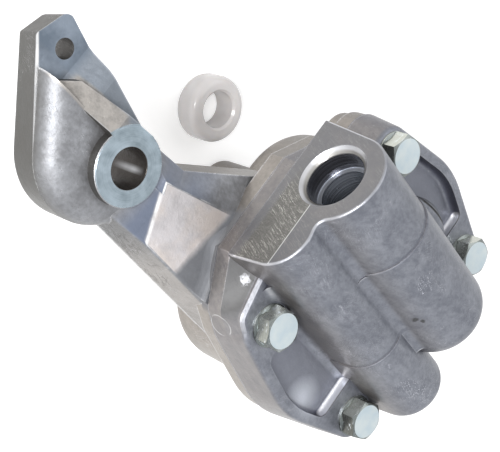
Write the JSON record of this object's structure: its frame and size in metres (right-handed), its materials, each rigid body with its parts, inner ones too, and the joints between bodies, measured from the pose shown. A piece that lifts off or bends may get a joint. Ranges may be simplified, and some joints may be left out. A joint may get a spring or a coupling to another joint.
{
  "type": "engine oil pump",
  "caption": "Two-gear engine oil pump in a die-cast body with a long mounting arm, a bolted cover with pickup bore and relief valve, and a loose nylon shaft sleeve.",
  "frame": {"origin": "axis of the mounting bolt hole, on the machined mounting face of the arm", "axes": "+Z along the gear axes from the mounting face towards the cover and the bolt heads, +X from the mounting head to the pump, +Y from the idler gear to the drive gear"},
  "size_m": [0.147, 0.0849, 0.1017],
  "materials": {
    "body_casting": "as cast, machined on the joint and mounting faces",
    "cover_casting": "as cast, machined on the pickup face",
    "zinc_plate": "bright zinc plate",
    "gear_steel": "sintered steel, ground faces",
    "shaft_steel": "ground steel",
    "spring_steel": "oil tempered spring wire",
    "nylon": "natural translucent nylon"
  },
  "bodies": {
    "pump_housing": {"pump_body": "body_casting", "pump_cover": "cover_casting", "cover_bolts": "zinc_plate", "idler_shaft": "shaft_steel", "relief_spring": "spring_steel", "spring_washer": "spring_steel", "retaining_pin": "shaft_steel", "shaft_retainer": "nylon"},
    "drive_train": {"drive_gear": "gear_steel", "drive_shaft": "shaft_steel"},
    "idler": {"idler_gear": "gear_steel"},
    "relief_plunger": {"relief_valve": "shaft_steel"}
  },
  "joints": [
    {"name": "drive_spin", "type": "hinge", "parent": "pump_housing", "child": "drive_train", "pos_m": [0.0783, 0.0376, 0], "axis": [0, 0, 1], "continuous": true},
    {"name": "idler_spin", "type": "hinge", "parent": "pump_housing", "child": "idler", "pos_m": [0.0783, 0.0106, 0], "axis": [0, 0, 1], "continuous": true},
    {"name": "relief_slide", "type": "slide", "parent": "pump_housing", "child": "relief_plunger", "axis": [1, 0, 0], "range_m": [0, 0.007], "stiffness_N_per_m": 5000, "springref_m": -0.006, "deforming": ["relief_spring"]}
  ],
  "couplings": [
    {"joint": "idler_spin", "follows": "drive_spin", "ratio": -1}
  ]
}
